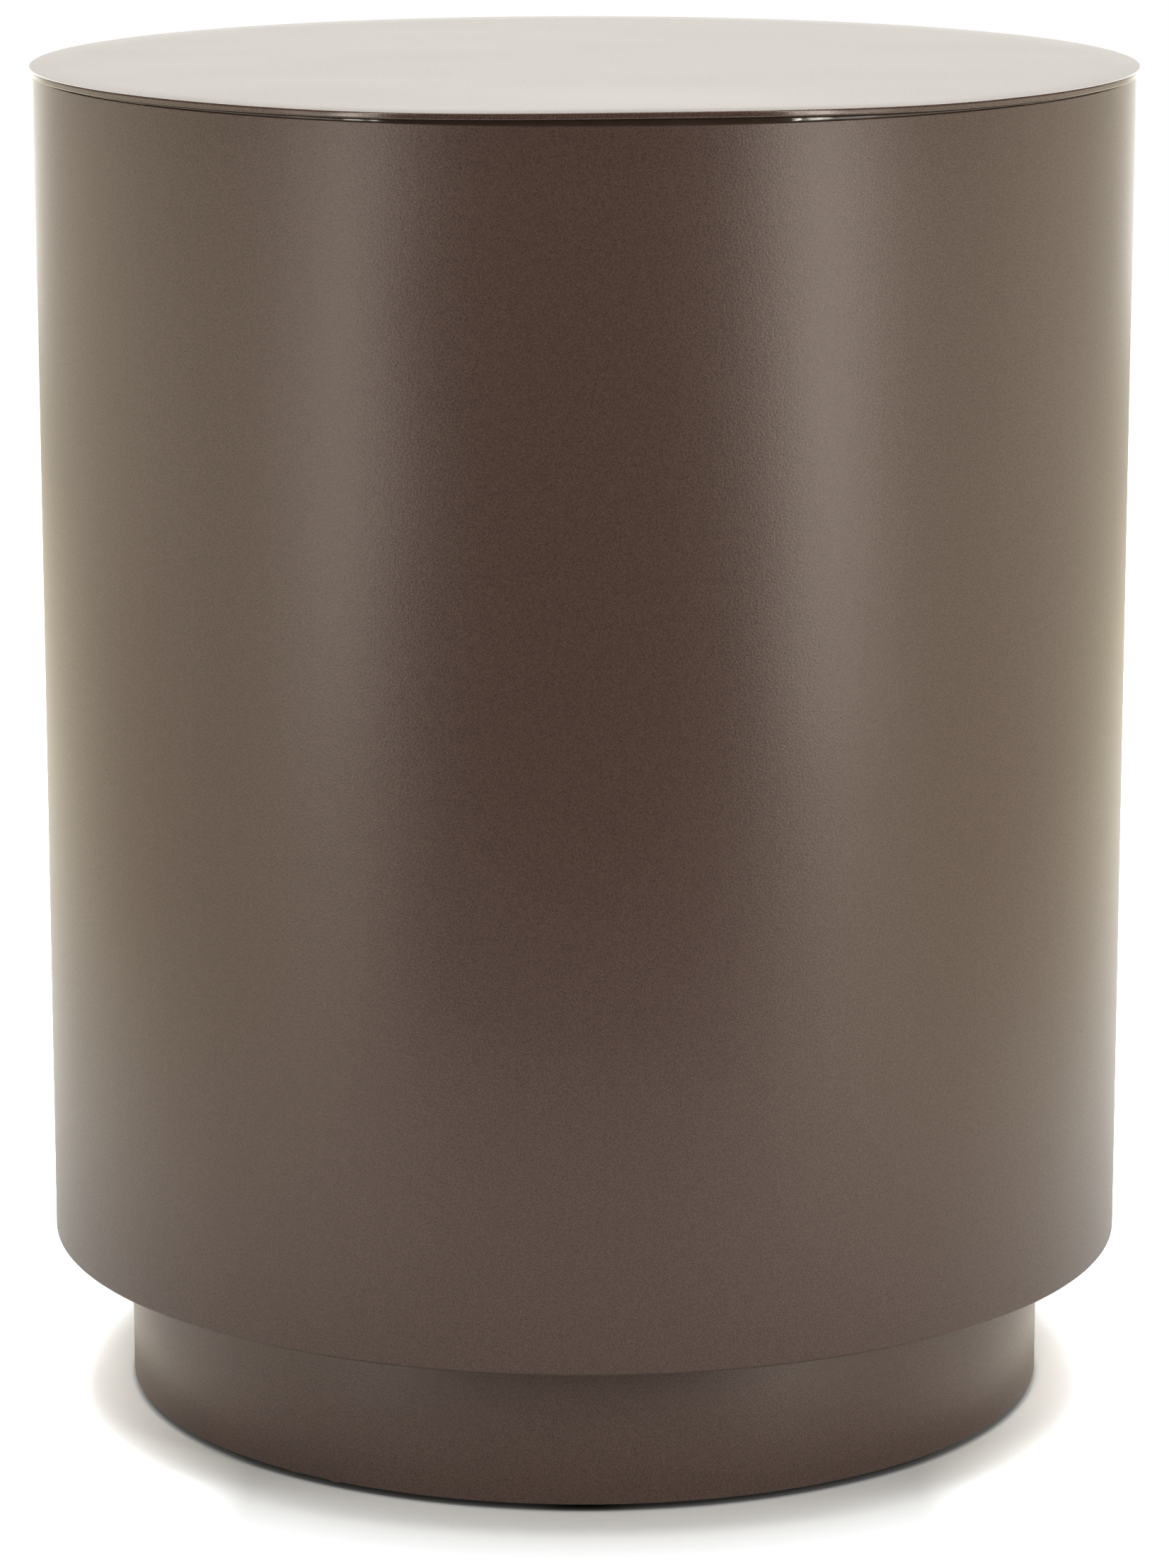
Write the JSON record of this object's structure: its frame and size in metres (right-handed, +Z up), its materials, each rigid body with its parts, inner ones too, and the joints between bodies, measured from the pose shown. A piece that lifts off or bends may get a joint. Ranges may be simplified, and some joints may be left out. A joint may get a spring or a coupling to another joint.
{
  "type": "drum side table",
  "caption": "Round powder-coated steel side table: straight drum with a thin bonded disc top on a recessed cylindrical plinth with hidden glides.",
  "frame": {"origin": "on the floor, in the middle under the table", "axes": "+Z up along the drum's axis; the picture looks along +Y at the front, and the weld seam of the drum is at the back"},
  "size_m": [0.4043, 0.4044, 0.496],
  "materials": {
    "mocha_powder_coat": "semi-matt warm grey-brown powder coat with a fine orange-peel texture",
    "black_adhesive": "glossy black elastic adhesive",
    "zinc_plated_steel": "bright zinc plating, satin",
    "black_nylon": "moulded black nylon, satin"
  },
  "bodies": {
    "root": {"top_plate": "mocha_powder_coat", "rim_seal": "black_adhesive", "drum_shell": "mocha_powder_coat", "rim_ring": "mocha_powder_coat", "brace_bar_lower": "mocha_powder_coat", "brace_bar_upper": "mocha_powder_coat", "brace_adhesive": "black_adhesive", "drum_floor": "mocha_powder_coat", "plinth_shell": "mocha_powder_coat", "mounting_ring": "mocha_powder_coat", "plinth_bolts": "zinc_plated_steel", "plinth_washers": "zinc_plated_steel", "plinth_nuts": "zinc_plated_steel", "foot_bracket_right": "mocha_powder_coat", "foot_bracket_back": "mocha_powder_coat", "foot_bracket_left": "mocha_powder_coat", "foot_bracket_front": "mocha_powder_coat", "foot_glide_right": "black_nylon", "foot_glide_back": "black_nylon", "foot_glide_left": "black_nylon", "foot_glide_front": "black_nylon", "glide_screws": "zinc_plated_steel", "glide_nuts": "zinc_plated_steel"}
  },
  "joints": []
}
